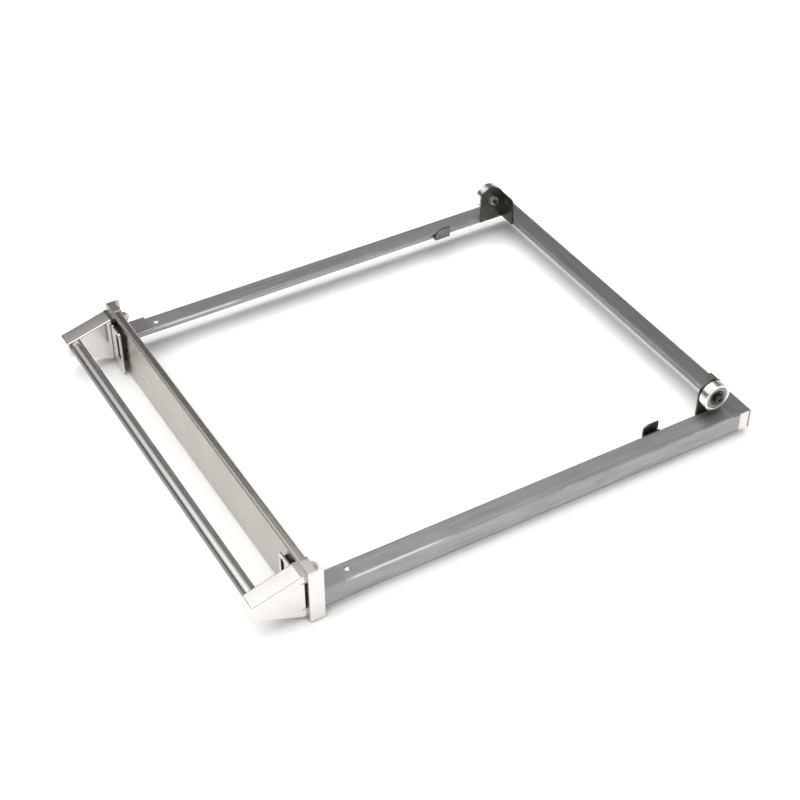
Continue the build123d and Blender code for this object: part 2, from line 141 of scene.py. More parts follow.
class Finish:
    """One material, or the sky, built node by node."""

    def __init__(self, name, kind="materials", shader="Principled BSDF"):
        self.made = getattr(bpy.data, kind).new(name)
        self.made.use_nodes = True
        self.tree = self.made.node_tree
        self.shader = self.tree.nodes[shader]

    def node(self, kind, settings=None, sockets=None, out=0):
        made = self.tree.nodes.new(kind)
        for key, value in (settings or {}).items():
            if key == "stops":
                ramp = made.color_ramp
                while len(ramp.elements) < len(value):
                    ramp.elements.new(0.5)
                for element, (position, colour) in zip(ramp.elements, value):
                    element.position = position
                    element.color = (*colour, 1.0)
            else:
                setattr(made, key, value)
        for key, value in (sockets or {}).items():
            if isinstance(value, Wire):
                self.tree.links.new(value.socket, made.inputs[key])
            else:
                made.inputs[key].default_value = value
        return Wire(self, made.outputs[out])

    def place(self):
        """The point on the piece, in metres."""
        return self.node("ShaderNodeTexCoord", out="Object")

    def axis(self, name):
        """One coordinate of the point, in millimetres."""
        parts = self.node("ShaderNodeSeparateXYZ", sockets={0: self.place()}, out=name)
        return parts * 1000.0

    def noise(self, scale, detail=3.0, rough=0.55, offset=(0.0, 0.0, 0.0)):
        """Noise whose scale may differ along each axis."""
        where = self.node("ShaderNodeMapping", None,
                          {"Vector": self.place(), "Location": offset, "Scale": scale})
        return self.node("ShaderNodeTexNoise", {"noise_dimensions": "3D"},
                         {"Vector": where, "Scale": 1.0, "Detail": detail, "Roughness": rough})

    def spots(self, scale, offset=(0.0, 0.0, 0.0)):
        where = self.node("ShaderNodeMapping", None,
                          {"Vector": self.place(), "Location": offset, "Scale": scale})
        return self.node("ShaderNodeTexVoronoi", {"feature": "F1"},
                         {"Vector": where, "Scale": 1.0}, out="Distance")

    def blend(self, mask, first, second):
        """Colour between first and second, by a mask."""
        colours = {6: self.colour(first), 7: self.colour(second)}
        return self.node("ShaderNodeMix", {"data_type": "RGBA", "clamp_factor": True},
                         {0: mask, **colours}, out=2)

    @staticmethod
    def colour(value):
        return value if isinstance(value, Wire) else (*tuple(value)[:3], 1.0)

    def bump(self, height, strength, distance):
        return self.node("ShaderNodeBump", None,
                         {"Height": height, "Strength": strength, "Distance": distance})

    def feed(self, **sockets):
        """Sets or links the shader's own sockets, named with _ for a space."""
        for key, value in sockets.items():
            socket = self.shader.inputs[key.replace("_", " ")]
            if isinstance(value, Wire):
                self.tree.links.new(value.socket, socket)
            else:
                socket.default_value = value
        return self.made


def tone(colour, factor):
    """A colour made lighter or darker."""
    return tuple(min(1.0, c * factor) for c in tuple(colour)[:3])


def along(run, fine, coarse):
    """A scale that is coarse along one axis and fine across it."""
    return tuple(coarse if axis == run else fine for axis in "xyz")


def bend_highlight_and_wear(f):
    """Where the bend is painted bright: a painted highlight, most at the front, and worn broken
    patches further back.
    """
    y = f.axis("Y")
    # painted highlight on the front stretch of the bend
    front = 1 - abs(y - BEND_HIGHLIGHT_MIDDLE).step(28.0, 75.0)
    patch = f.noise((30.0, 16.0, 30.0), 3.0, 0.6, (9.0, 4.0, 1.0)).step(0.58, 0.70)
    return front * 0.85 + patch * 0.35


def mill_steel(name, colour, run, highlight_and_wear_z):
    """Plain mill-finish strip: rolling streaks, cloudy patches, scuffs, a bend with a painted
    highlight and worn patches, and painted shade along the foot.
    """
    f = Finish(name)
    streak = f.noise(along(run, 900.0, 9.0), 4.0, 0.62)
    cloud = f.noise(along(run, 70.0, 16.0), 3.0, 0.6, (3.1, 0.7, 5.2))
    blotch = f.noise((38.0, 38.0, 38.0), 4.0, 0.68, (8.0, 2.0, 1.0))
    scratch = f.noise(along(run, 2600.0, 30.0), 2.0, 0.5, (1.0, 6.0, 2.0))
    mark = scratch.step(0.64, 0.74)
    z = f.axis("Z")
    # the bend: a painted highlight at the front and worn patches further back
    bend = z.band(highlight_and_wear_z, 0.7, 0.5) * bend_highlight_and_wear(f)
    # painted shade along the foot of the upright side
    low = z.band(10.4, 0.7, 2.4)
    base = f.blend(streak.step(0.30, 0.72), tone(colour, 0.84), tone(colour, 1.14))
    base = f.blend(cloud.step(0.42, 0.70) * 0.45, base, tone(colour, 0.70))
    base = f.blend(blotch.step(0.50, 0.76) * 0.30, base, tone(colour, 1.18))
    base = f.blend(mark * 0.35, base, tone(colour, 1.7))
    # darken the foot with painted shade
    base = f.blend(low * 0.5, base, tone(colour, 0.5))
    # the bend's painted highlight and worn patches
    base = f.blend(bend * 0.8, base, tone(colour, 2.6))
    rough = 0.37 + cloud * 0.14 + streak * 0.08 - mark * 0.06 - bend * 0.08
    grain = streak * 0.6 + scratch * 0.4
    return f.feed(Base_Color=base, Metallic=0.95, Roughness=rough,
                  Normal=f.bump(grain, 0.16, 0.0002))


def brushed_steel(name, colour, run, rough=0.30, depth=0.12, stain=0.16):
    """Brushed stainless sheet: fine parallel brush lines, faint stains and finger marks."""
    f = Finish(name)
    brush = f.noise(along(run, 2400.0, 14.0), 3.0, 0.6)
    cloud = f.noise((26.0, 26.0, 26.0), 3.0, 0.6, (4.0, 9.0, 2.0))
    print_mark = f.noise((95.0, 95.0, 95.0), 4.0, 0.7, (2.0, 2.0, 7.0)).step(0.60, 0.74)
    base = f.blend(brush.step(0.25, 0.75), tone(colour, 0.93), tone(colour, 1.05))
    base = f.blend(cloud.step(0.40, 0.72) * stain, base, tone(colour, 0.78))
    base = f.blend(print_mark * 0.06, base, tone(colour, 0.72))
    spread = rough + cloud * 0.10 + print_mark * 0.08 + brush * 0.05
    return f.feed(Base_Color=base, Metallic=1.0, Roughness=spread,
                  Normal=f.bump(brush, depth, 0.0001))


def polished_tube(name, colour):
    """Polished tube: lines turned round the axis and light hazing. The front and back sides are
    painted dark, where a real one would reflect dark surroundings."""
    f = Finish(name)
    rings = f.noise((1500.0, 40.0, 40.0), 3.0, 0.6)
    haze = f.noise((11.0, 60.0, 60.0), 3.0, 0.6, (5.0, 5.0, 1.0))
    nick = f.spots((260.0, 420.0, 420.0), (1.0, 2.0, 3.0))
    base = f.blend(rings.step(0.25, 0.75), tone(colour, 0.94), tone(colour, 1.04))
    base = f.blend(haze.step(0.45, 0.70) * 0.14, base, tone(colour, 0.8))
    side = abs(f.axis("Y") - TUBE_MIDDLE.y / MM).step(4.8, 6.6)
    base = f.blend(side * 0.85, base, tone(colour, 0.15))
    pit = 1 - nick.step(0.06, 0.11)
    base = f.blend(pit * 0.3, base, tone(colour, 0.5))
    return f.feed(Base_Color=base, Metallic=1.0, Roughness=0.20 + haze * 0.12 + pit * 0.2,
                  Normal=f.bump(rings, 0.06, 0.0001))


def dark_plate(name, colour):
    """Dark plated steel: mottled plating, rubbed high spots, fine pits."""
    f = Finish(name)
    cloud = f.noise((70.0, 70.0, 70.0), 4.0, 0.65)
    fine = f.noise((900.0, 900.0, 900.0), 3.0, 0.6, (2.0, 8.0, 4.0))
    rub = f.noise((180.0, 180.0, 45.0), 4.0, 0.7, (7.0, 1.0, 1.0)).step(0.60, 0.72)
    base = f.blend(cloud.step(0.35, 0.68), tone(colour, 0.82), tone(colour, 1.15))
    base = f.blend(fine.step(0.55, 0.75) * 0.25, base, tone(colour, 1.3))
    base = f.blend(rub * 0.35, base, tone(colour, 1.6))
    return f.feed(Base_Color=base, Metallic=1.0, Roughness=0.26 + cloud * 0.14 - rub * 0.05,
                  Normal=f.bump(fine, 0.10, 0.0002))


def rubber(name, colour):
    """Moulded rubber: fine matt grain with a dusty bloom."""
    f = Finish(name)
    grain = f.noise((1400.0, 1400.0, 1400.0), 3.0, 0.6)
    dust = f.noise((120.0, 120.0, 120.0), 4.0, 0.7, (1.0, 2.0, 3.0)).step(0.52, 0.78)
    base = f.blend(grain.step(0.3, 0.7), tone(colour, 0.8), tone(colour, 1.2))
    base = f.blend(dust * 0.35, base, (0.07, 0.068, 0.065))
    return f.feed(Base_Color=base, Roughness=0.72 + dust * 0.15,
                  Normal=f.bump(grain, 0.25, 0.0002))


def zinc(name, colour, rough=0.30):
    """Plated hardware: bright zinc with turned lines and a cloudy film."""
    f = Finish(name)
    cloud = f.noise((240.0, 240.0, 240.0), 3.0, 0.6)
    fine = f.noise((2200.0, 2200.0, 2200.0), 2.0, 0.5, (3.0, 1.0, 4.0))
    base = f.blend(cloud.step(0.35, 0.7), tone(colour, 0.82), tone(colour, 1.1))
    base = f.blend(fine.step(0.6, 0.8) * 0.25, base, tone(colour, 0.55))
    return f.feed(Base_Color=base, Metallic=0.95, Roughness=rough + cloud * 0.14,
                  Normal=f.bump(fine, 0.10, 0.0001))


def turned_ring(name, colour, rough=0.16):
    """Ground bearing steel: circular grinding lines about the roller axis and a light film."""
    f = Finish(name)
    y = f.axis("Y") - AXLE.y / MM
    z = f.axis("Z") - AXLE.z / MM
    radius = (y * y + z * z) ** 0.5
    rings = f.node("ShaderNodeTexNoise", {"noise_dimensions": "1D"},
                   {"W": radius * 7.0, "Scale": 1.0, "Detail": 3.0, "Roughness": 0.6})
    cloud = f.noise((160.0, 160.0, 160.0), 3.0, 0.6)
    tread = radius.step(17.1, 17.4) * f.noise((60.0, 260.0, 260.0), 4.0, 0.7).step(0.5, 0.66)
    base = f.blend(rings.step(0.3, 0.7), tone(colour, 0.84), tone(colour, 1.08))
    base = f.blend(cloud.step(0.45, 0.7) * 0.22, base, tone(colour, 0.65))
    base = f.blend(tread * 0.45, base, tone(colour, 0.5))
    return f.feed(Base_Color=base, Metallic=1.0, Roughness=rough + cloud * 0.12 + tread * 0.12,
                  Normal=f.bump(rings, 0.10, 0.0001))


def weld_metal(name, colour):
    """Fused bead: dull ripples with straw and blue heat colours."""
    f = Finish(name)
    ripple = f.noise((420.0, 420.0, 420.0), 3.0, 0.6)
    heat = f.noise((90.0, 90.0, 90.0), 2.0, 0.5, (6.0, 3.0, 2.0))
    base = f.node("ShaderNodeValToRGB",
                  {"stops": ((0.30, tone(colour, 0.55)), (0.46, colour),
                             (0.58, (0.30, 0.24, 0.17)), (0.72, (0.14, 0.15, 0.19)))},
                  {0: heat})
    base = f.blend(ripple.step(0.45, 0.7) * 0.5, base, tone(colour, 1.5))
    return f.feed(Base_Color=base, Metallic=0.85, Roughness=0.38 + ripple * 0.2,
                  Normal=f.bump(ripple, 0.5, 0.0003))


# ---------------------------------------------------------------- mesh building


def edge_angle(edge):
    return edge.calc_face_angle(0.0) if len(edge.link_faces) == 2 else 0.0


def soften(bm, width, segments=2, least=35.0):
    """Bevels the sharp edges a little, as deburred metal is."""
    sharp = [e for e in bm.edges if edge_angle(e) > math.radians(least)]
    bmesh.ops.bevel(bm, geom=sharp, offset=width * MM, segments=segments, profile=0.5,
                    affect="EDGES", material=-1, clamp_overlap=True)


def finish_mesh(bm, name, material, body, replaces=(), least=40.0):
    """Closes the bmesh into a piece at the origin, shaded smooth between its sharp edges."""
    bmesh.ops.remove_doubles(bm, verts=bm.verts[:], dist=1e-6)
    bmesh.ops.recalc_face_normals(bm, faces=bm.faces[:])
    for face in bm.faces:
        face.smooth = True
    for edge in bm.edges:
        edge.smooth = edge_angle(edge) < math.radians(least)
    mesh = bpy.data.meshes.new(name)
    bm.to_mesh(mesh)
    bm.free()
    piece = bpy.data.objects.new(name, mesh)
    bpy.context.scene.collection.objects.link(piece)
    mesh.materials.append(material)
    even = piece.modifiers.new("even_shading", "WEIGHTED_NORMAL")
    even.keep_sharp = True
    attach(piece, body)
    if replaces:
        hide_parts(*replaces)
    return piece


def flip(bm, side):
    """Mirrors a right-hand shape across the middle of the frame for the left."""
    if side < 0:
        bmesh.ops.scale(bm, vec=(-1.0, 1.0, 1.0), verts=bm.verts[:])
        bmesh.ops.reverse_faces(bm, faces=bm.faces[:])


def folded_strip(points, run, bend):
    """An open sheet along run, folded where the outer line of its section turns."""
    bm = bmesh.new()
    verts = [bm.verts.new(p) for p in points]
    edges = [bm.edges.new(pair) for pair in zip(verts, verts[1:])]
    grown = bmesh.ops.extrude_edge_only(bm, edges=edges)["geom"]
    moved = [g for g in grown if isinstance(g, bmesh.types.BMVert)]
    bmesh.ops.translate(bm, verts=moved, vec=run)
    folds = [e for e in bm.edges if len(e.link_faces) == 2]
    bmesh.ops.bevel(bm, geom=folds, offset=bend * MM, segments=5, profile=0.5,
                    affect="EDGES", material=-1)
    return bm


def thicken(bm, sheet, inside):
    """Gives an open sheet its thickness toward a point inside the fold."""
    bmesh.ops.recalc_face_normals(bm, faces=bm.faces[:])
    face = max(bm.faces, key=lambda f: f.calc_area())
    if face.normal.dot(inside - face.calc_center_median()) > 0:
        bmesh.ops.reverse_faces(bm, faces=bm.faces[:])
    bmesh.ops.solidify(bm, geom=bm.faces[:], thickness=sheet * MM)


def cut_off(bm, point, normal, gone):
    """Cuts an open sheet at a plane and drops the faces that gone(centre) picks."""
    bmesh.ops.bisect_plane(bm, geom=bm.verts[:] + bm.edges[:] + bm.faces[:],
                           plane_co=point, plane_no=normal, dist=1e-6)
    dropped = [f for f in bm.faces if gone(f.calc_center_median())]
    bmesh.ops.delete(bm, geom=dropped, context="FACES")


def plate(corners, thick, rounds=(), holes=()):
    """A flat plate in its own u, v plane, in millimetres, from w 0 to thick.

    rounds gives the corners to round as (index, radius); holes are (u, v, radius, stretch),
    where stretch lengthens a hole along v into a slot."""
    bm = bmesh.new()
    verts = [bm.verts.new((u * MM, v * MM, 0.0)) for u, v in corners]
    bm.faces.new(verts)
    for index, size in rounds:
        corner = Vector((*corners[index], 0.0)) * MM
        vert = min(bm.verts, key=lambda v: (v.co - corner).length)
        bmesh.ops.bevel(bm, geom=[vert], offset=size * MM, segments=10, profile=0.5,
                        affect="VERTICES", material=-1)
    bmesh.ops.delete(bm, geom=bm.faces[:], context="FACES_ONLY")
    for u, v, r, stretch in holes:
        ring = bmesh.ops.create_circle(bm, segments=32, radius=r * MM)["verts"]
        for vert in ring:
            if stretch:
                vert.co.y += math.copysign(stretch / 2 * MM, vert.co.y)
        bmesh.ops.translate(bm, verts=ring, vec=(u * MM, v * MM, 0.0))
    bmesh.ops.triangle_fill(bm, edges=bm.edges[:], use_beauty=True, use_dissolve=False)
    bmesh.ops.dissolve_limit(bm, angle_limit=0.01, verts=bm.verts[:], edges=bm.edges[:],
                             delimit=set())
    grown = bmesh.ops.extrude_face_region(bm, geom=bm.faces[:])["geom"]
    moved = [g for g in grown if isinstance(g, bmesh.types.BMVert)]
    bmesh.ops.translate(bm, verts=moved, vec=(0.0, 0.0, thick * MM))
    bmesh.ops.recalc_face_normals(bm, faces=bm.faces[:])
    return bm


def stand(bm, u_axis, v_axis, w_axis, origin):
    """Turns a plate's u, v, w onto three directions and moves it to its place."""
    turn = Matrix((u_axis, v_axis, w_axis)).transposed().to_4x4()
    bmesh.ops.transform(bm, matrix=Matrix.Translation(origin) @ turn, verts=bm.verts[:])


def box_between(bm, low, high):
    """Adds a block between two corners and returns its vertices."""
    made = bmesh.ops.create_cube(bm, size=1.0)["verts"]
    bmesh.ops.scale(bm, vec=high - low, verts=made)
    bmesh.ops.translate(bm, vec=(low + high) / 2, verts=made)
    return made


def turn_about_x(section, centre, steps=96):
    """A ring spun about an axis along X from a closed section of (x, radius) points in mm."""
    bm = bmesh.new()
    verts = [bm.verts.new(centre + Vector((x * MM, 0.0, r * MM))) for x, r in section]
    edges = [bm.edges.new((a, b)) for a, b in zip(verts, verts[1:] + verts[:1])]
    bmesh.ops.spin(bm, geom=verts + edges, cent=centre, axis=(1.0, 0.0, 0.0),
                   angle=math.tau, steps=steps, use_merge=True, use_duplicate=False)
    bmesh.ops.remove_doubles(bm, verts=bm.verts[:], dist=1e-7)
    return bm


def join(bm, part):
    """Moves one bmesh into another."""
    mesh = bpy.data.meshes.new("joined_part")
    part.to_mesh(mesh)
    part.free()
    bm.from_mesh(mesh)
    bpy.data.meshes.remove(mesh)


def bead(points, radius, gap=1.6):
    """A weld bead: overlapping flattened ripples along a line of points."""
    bm = bmesh.new()
    for start, end in zip(points, points[1:]):
        length = (end - start).length / MM
        count = max(2, int(length / gap))
        for i in range(count + 1):
            centre = start.lerp(end, i / count)
            swell = 1.0 + 0.10 * math.sin(5.1 * i + 0.7)
            made = bmesh.ops.create_icosphere(bm, subdivisions=2, radius=radius * MM * swell)
            bmesh.ops.translate(bm, vec=centre, verts=made["verts"])
    return bm


# ---------------------------------------------------------------- properties


class DrawerSizes(bpy.types.PropertyGroup):
    """Sizes that a user may change."""

    sheet: bpy.props.FloatProperty(
        name="Sheet", description="Thickness of the rail and panel sheet",
        default=0.0015, unit="LENGTH")
    flange: bpy.props.FloatProperty(
        name="Flange", description="Width of the top flange of a rail",
        default=RAIL[1].x - RAIL[0].x, unit="LENGTH")
    bend: bpy.props.FloatProperty(
        name="Bend", description="Outside radius of the folds in the rails",
        default=0.0024, unit="LENGTH")
    panel_bend: bpy.props.FloatProperty(
        name="Panel bend", description="Outside radius of the folds in the front panel",
        default=0.0030, unit="LENGTH")
    tube_wall: bpy.props.FloatProperty(
        name="Tube wall", description="Wall thickness of the handle tube",
        default=0.0015, unit="LENGTH")
    edge: bpy.props.FloatProperty(
        name="Edge", description="Width of the worn edge on cut sheet",
        default=0.00025, unit="LENGTH")
    weld: bpy.props.FloatProperty(
        name="Weld", description="Radius of the weld beads",
        default=0.0011, unit="LENGTH")


def colour_property(name, description, default):
    return bpy.props.FloatVectorProperty(name=name, description=description, default=default,
                                         size=3, min=0.0, max=1.0, subtype="COLOR")


class DrawerColours(bpy.types.PropertyGroup):
    """Colours of the finishes."""

    rail: colour_property("Rails", "Mill-finish steel of the side rails", (0.36, 0.355, 0.36))
    crossbar: colour_property("Crossbar", "Mill-finish steel of the crossbar",
                              (0.265, 0.26, 0.26))
    panel: colour_property("Panel", "Brushed stainless of the front panel",
                           (0.50, 0.472, 0.435))
    bracket: colour_property("Brackets", "Bright stainless of the handle brackets",
                             (0.76, 0.73, 0.715))
    cap: colour_property("End caps", "Bright stainless of the end caps", (0.78, 0.745, 0.72))
    handle: colour_property("Handle", "Polished stainless of the handle tube",
                            (0.72, 0.70, 0.69))
    clip: colour_property("Clips", "Stainless of the clips at the rail ends",
                          (0.35, 0.335, 0.34))
    dark: colour_property("Dark plate", "Dark steel of the corner brackets and stops",
                          (0.115, 0.108, 0.098))
    pad: colour_property("Pads", "Black rubber pads", (0.012, 0.012, 0.012))
    roller: colour_property("Roller", "Ground steel of the rollers", (0.82, 0.80, 0.78))
    hub: colour_property("Hub", "Dark plated axle bolts and inner rings", (0.06, 0.058, 0.055))
    hardware: colour_property("Hardware", "Zinc plated bolts and nuts", (0.62, 0.62, 0.61))
    floor: colour_property("Floor", "Pale studio floor", (0.93, 0.93, 0.925))


def sizes():
    return bpy.context.scene.drawer_sizes


def colours():
    return bpy.context.scene.drawer_colours


def paint(node, material):
    """Gives a CAD node its finish."""
    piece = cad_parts[node]
    piece.data.materials.clear()
    piece.data.materials.append(material)


# ---------------------------------------------------------------- operators


class DRAWER_OT_rails(bpy.types.Operator):
    """Folds the two side rails with their top flanges and short lips"""

    bl_idname = "drawer.rails"
    bl_label = "Rails"

    def execute(self, context):
        s = sizes()
        steel = mill_steel("rail_mill_steel", colours().rail, "y", HIGHLIGHT_AND_WEAR_HEIGHT)
        inner = RAIL_OUTER - s.flange / MM
        section = (at(RAIL_OUTER, RAIL_FRONT, RAIL_FOOT), at(RAIL_OUTER, RAIL_FRONT, RAIL_TOP),
                   at(inner, RAIL_FRONT, RAIL_TOP), at(inner, RAIL_FRONT, LIP_FOOT))
        flange_end = at(0, 612, 0)      # only the upright side goes on under the crossbar
        for name, side in SIDES:
            bm = folded_strip(section, Vector((0.0, 547.5 * MM, 0.0)), s.bend / MM)
            cut_off(bm, flange_end, (0.0, 1.0, 0.0),
                    lambda c: c.y > flange_end.y and (c.z > 0.0336 or c.x < 0.2525))
            thicken(bm, s.sheet / MM, at(245, 300, 25))
            soften(bm, s.edge / MM)
            flip(bm, side)
            finish_mesh(bm, "side_rail_" + name, steel, "frame", ["rail_" + name])
        return {"FINISHED"}


class DRAWER_OT_crossbar(bpy.types.Operator):
    """Folds the rear crossbar and closes its open ends with bright tabs"""

    bl_idname = "drawer.crossbar"
    bl_label = "Crossbar"

    def execute(self, context):
        s = sizes()
        steel = mill_steel("crossbar_mill_steel", colours().crossbar, "x", HIGHLIGHT_AND_WEAR_HEIGHT)
        front = CROSSBAR_BACK - s.flange / MM
        section = (at(-RAIL_OUTER, CROSSBAR_BACK, RAIL_FOOT),
                   at(-RAIL_OUTER, CROSSBAR_BACK, RAIL_TOP),
                   at(-RAIL_OUTER, front, RAIL_TOP), at(-RAIL_OUTER, front, LIP_FOOT))
        bm = folded_strip(section, Vector((2 * RAIL_OUTER * MM, 0.0, 0.0)), s.bend / MM)
        lip = at(0, front + 0.3, 0).y   # the lip stops where it meets the rails
        for side in (1.0, -1.0):
            cut_off(bm, Vector((side * 0.253, 0.0, 0.0)), (1.0, 0.0, 0.0),
                    lambda c: abs(c.x) > 0.253 and c.y < lip and c.z < 0.0345)
        thicken(bm, s.sheet / MM, at(0, 625, 25))
        soften(bm, s.edge / MM)
        finish_mesh(bm, "crossbar", steel, "frame", ["rear_crossbar"])

        bright = brushed_steel("end_tab_bright_steel", colours().cap, "z", 0.34)
        for name, side in SIDES:
            section = (at(RAIL_OUTER, 622, 11), at(RAIL_OUTER, 635.5, 11), at(240.5, 635.5, 11))
            bm = folded_strip(section, Vector((0.0, 0.0, 23.5 * MM)), 1.2)
            thicken(bm, s.sheet / MM, at(245, 625, 20))
            soften(bm, 0.2)
            flip(bm, side)
            finish_mesh(bm, "end_tab_" + name, bright, "frame",
                        ["crossbar_end_tab_" + name])
        return {"FINISHED"}


class DRAWER_OT_panel(bpy.types.Operator):
    """Folds the front panel as a shallow channel and fits its end caps"""

    bl_idname = "drawer.panel"
    bl_label = "Front panel"

    def execute(self, context):
        s = sizes()
        steel = brushed_steel("panel_brushed_steel", colours().panel, "x", 0.20, 0.07, 0.10)
        section = [at(-PANEL_END, y, z) for y, z in (
            (PANEL_BACK, 51), (PANEL_BACK, PANEL_TOP), (PANEL_FRONT, PANEL_TOP),
            (PANEL_FRONT, 0), (PANEL_BACK, 0), (PANEL_BACK, 18))]
        bm = folded_strip(section, Vector((2 * PANEL_END * MM, 0.0, 0.0)), s.panel_bend / MM)
        thicken(bm, s.sheet / MM, at(0, 68, 35))
        soften(bm, s.edge / MM)
        finish_mesh(bm, "front_plate", steel, "frame", ["front_panel"])

        bright = brushed_steel("cap_bright_steel", colours().cap, "z", 0.20, 0.10)
        for name, side in SIDES:
            bm = bmesh.new()
            box_between(bm, at(PANEL_END, PANEL_FRONT, 3), at(260, 79.5, 72))
            bmesh.ops.bisect_plane(bm, geom=bm.verts[:] + bm.edges[:] + bm.faces[:],
                                   plane_co=at(0, 0, PANEL_TOP), plane_no=(0.0, 0.0, 1.0),
                                   dist=1e-6)
            for y in (62.6, PANEL_BACK):
                bmesh.ops.bisect_plane(bm, geom=bm.verts[:] + bm.edges[:] + bm.faces[:],
                                       plane_co=at(0, y, 0), plane_no=(0.0, 1.0, 0.0),
                                       dist=1e-6)
            root = [f for f in bm.faces if f.normal.x < -0.9
                    and f.calc_center_median().z > 0.071
                    and at(0, 62.6, 0).y < f.calc_center_median().y < at(0, PANEL_BACK, 0).y]
            grown = bmesh.ops.extrude_face_region(bm, geom=root)["geom"]
            bmesh.ops.delete(bm, geom=root, context="FACES")
            moved = [g for g in grown if isinstance(g, bmesh.types.BMVert)]
            bmesh.ops.translate(bm, verts=moved, vec=(-19.5 * MM, 0.0, 0.0))
            bmesh.ops.dissolve_limit(bm, angle_limit=0.01, verts=bm.verts[:],
                                     edges=bm.edges[:], delimit=set())
            fold = [e for e in bm.edges if abs(e.verts[0].co.x - 0.26) < 1e-6
                    and abs(e.verts[1].co.x - 0.26) < 1e-6
                    and abs(e.verts[0].co.z - 0.072) < 1e-6
                    and abs(e.verts[1].co.z - 0.072) < 1e-6]
            bmesh.ops.bevel(bm, geom=fold, offset=0.9 * MM, segments=4, profile=0.5,
                            affect="EDGES", material=-1)
            soften(bm, 0.2)
            flip(bm, side)
            finish_mesh(bm, "end_cap_" + name, bright, "frame", ["panel_end_cap_" + name])
        return {"FINISHED"}


class DRAWER_OT_brackets(bpy.types.Operator):
    """Forms the tapering handle brackets, their slotted tabs and the rubber pads"""

    bl_idname = "drawer.brackets"
    bl_label = "Handle brackets"

    def execute(self, context):
        bright = brushed_steel("bracket_bright_steel", colours().bracket, "y", 0.10, 0.06)
        pad = rubber("pad_rubber", colours().pad)
        for name, side in SIDES:
            bm = bmesh.new()
            profile = (at(BOX_INNER, 0, 34), at(BOX_INNER, BOX_BACK, 8),
                       at(BOX_INNER, BOX_BACK, 67), at(BOX_INNER, 0, 51.5))
            face = bm.faces.new([bm.verts.new(p) for p in profile])
            grown = bmesh.ops.extrude_face_region(bm, geom=[face])["geom"]
            moved = [g for g in grown if isinstance(g, bmesh.types.BMVert)]
            bmesh.ops.translate(bm, verts=moved, vec=((BOX_OUTER - BOX_INNER) * MM, 0.0, 0.0))
            bmesh.ops.recalc_face_normals(bm, faces=bm.faces[:])
            under = min(bm.faces, key=lambda f: f.normal.z)
            bmesh.ops.delete(bm, geom=[under], context="FACES")
            sharp = [e for e in bm.edges if len(e.link_faces) == 2]
            bmesh.ops.bevel(bm, geom=sharp, offset=1.5 * MM, segments=4, profile=0.5,
                            affect="EDGES", material=-1)
            thicken(bm, 2.0, at(243.5, 30, 40))
            soften(bm, 0.25)
            leg = BOX_OUTER - 2.0
            for low, high in ((at(BOX_INNER, 56.6, 65), at(BOX_OUTER, SEAT_BACK, 66.8)),
                              (at(leg, SEAT_FRONT, 56), at(BOX_OUTER, SEAT_BACK, 66.4)),
                              (at(leg, SEAT_FRONT, 8.6), at(BOX_OUTER, SEAT_BACK, 19.5)),
                              (at(leg, SEAT_FRONT, 18.5), at(BOX_OUTER, 59.8, 57))):
                box_between(bm, low, high)
            flip(bm, side)
            finish_mesh(bm, "handle_bracket_box_" + name, bright, "frame",
                        ["handle_bracket_" + name])

            bm = plate(((206, 2), (BOX_INNER, 2), (BOX_INNER, 62), (206, 62)), 2.0,
                       rounds=((0, 3.0), (3, 3.0)), holes=((214, 39, 4.0, 28.0),))
            stand(bm, (1, 0, 0), (0, 0, 1), (0, -1, 0), at(0, BOX_BACK, 0))
            soften(bm, 0.25)
            flip(bm, side)
            finish_mesh(bm, "bracket_tab_" + name, bright, "frame", ())

            low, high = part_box("bracket_pad_" + name)
            if side > 0:
                high.x -= PAD_SHORT * MM
            else:
                low.x += PAD_SHORT * MM
            bm = bmesh.new()
            box_between(bm, low, high)
            soften(bm, 0.6, 3)
            finish_mesh(bm, "pad_" + name, pad, "frame", ["bracket_pad_" + name])
        return {"FINISHED"}


class DRAWER_OT_handle(bpy.types.Operator):
    """Turns the tubular handle and finishes its end plugs and screws"""

    bl_idname = "drawer.handle"
    bl_label = "Handle"

    def execute(self, context):
        s = sizes()
        polished = polished_tube("handle_polished_steel", colours().handle)
        radius = (TUBE[1].z - TUBE[0].z) / 2 / MM
        half = TUBE[1].x / MM
        inside = radius - s.tube_wall / MM
        section = ((-half, inside), (-half, radius - 0.35), (-half + 0.35, radius),
                   (half - 0.35, radius), (half, radius - 0.35), (half, inside))
        bm = turn_about_x(section, TUBE_MIDDLE, 64)
        finish_mesh(bm, "handle_bar", polished, "frame", ["handle_tube"])
        paint("handle_plugs", zinc("plug_turned_steel", (0.5, 0.5, 0.5)))
        paint("handle_screws", zinc("handle_screw_zinc", colours().hardware))
        return {"FINISHED"}


class DRAWER_OT_clips(bpy.types.Operator):
    """Finishes the clips that join the rails to the panel, with their bolts and rivets"""

    bl_idname = "drawer.clips"
    bl_label = "Clips and bolts"

    def execute(self, context):
        c = colours()
        clip = brushed_steel("clip_steel", c.clip, "y", 0.38, 0.12, 0.3)
        hardware = zinc("bolt_zinc", c.hardware, 0.26)
        rivet = zinc("rivet_aluminium", (0.78, 0.78, 0.78), 0.24)
        for name, side in SIDES:
            paint("front_clip_" + name, clip)
        for node in ("bracket_bolts", "bracket_nuts"):
            paint(node, hardware)
        paint("clip_rivets", rivet)
        plain = zinc("lip_rivet_steel", (0.2, 0.19, 0.18), 0.34)
        for node in ("stop_rivets", "corner_rivets"):
            paint(node, plain)
        return {"FINISHED"}


class DRAWER_OT_corners(bpy.types.Operator):
    """Finishes the dark corner brackets and stop tabs"""

    bl_idname = "drawer.corners"
    bl_label = "Corner brackets and stops"

    def execute(self, context):
        dark = dark_plate("corner_dark_plate", colours().dark)
        stop = dark_plate("stop_dark_plate", (0.16, 0.152, 0.152))
        for name, side in SIDES:
            paint("corner_bracket_" + name, dark)
            paint("stop_tab_" + name, stop)
        return {"FINISHED"}


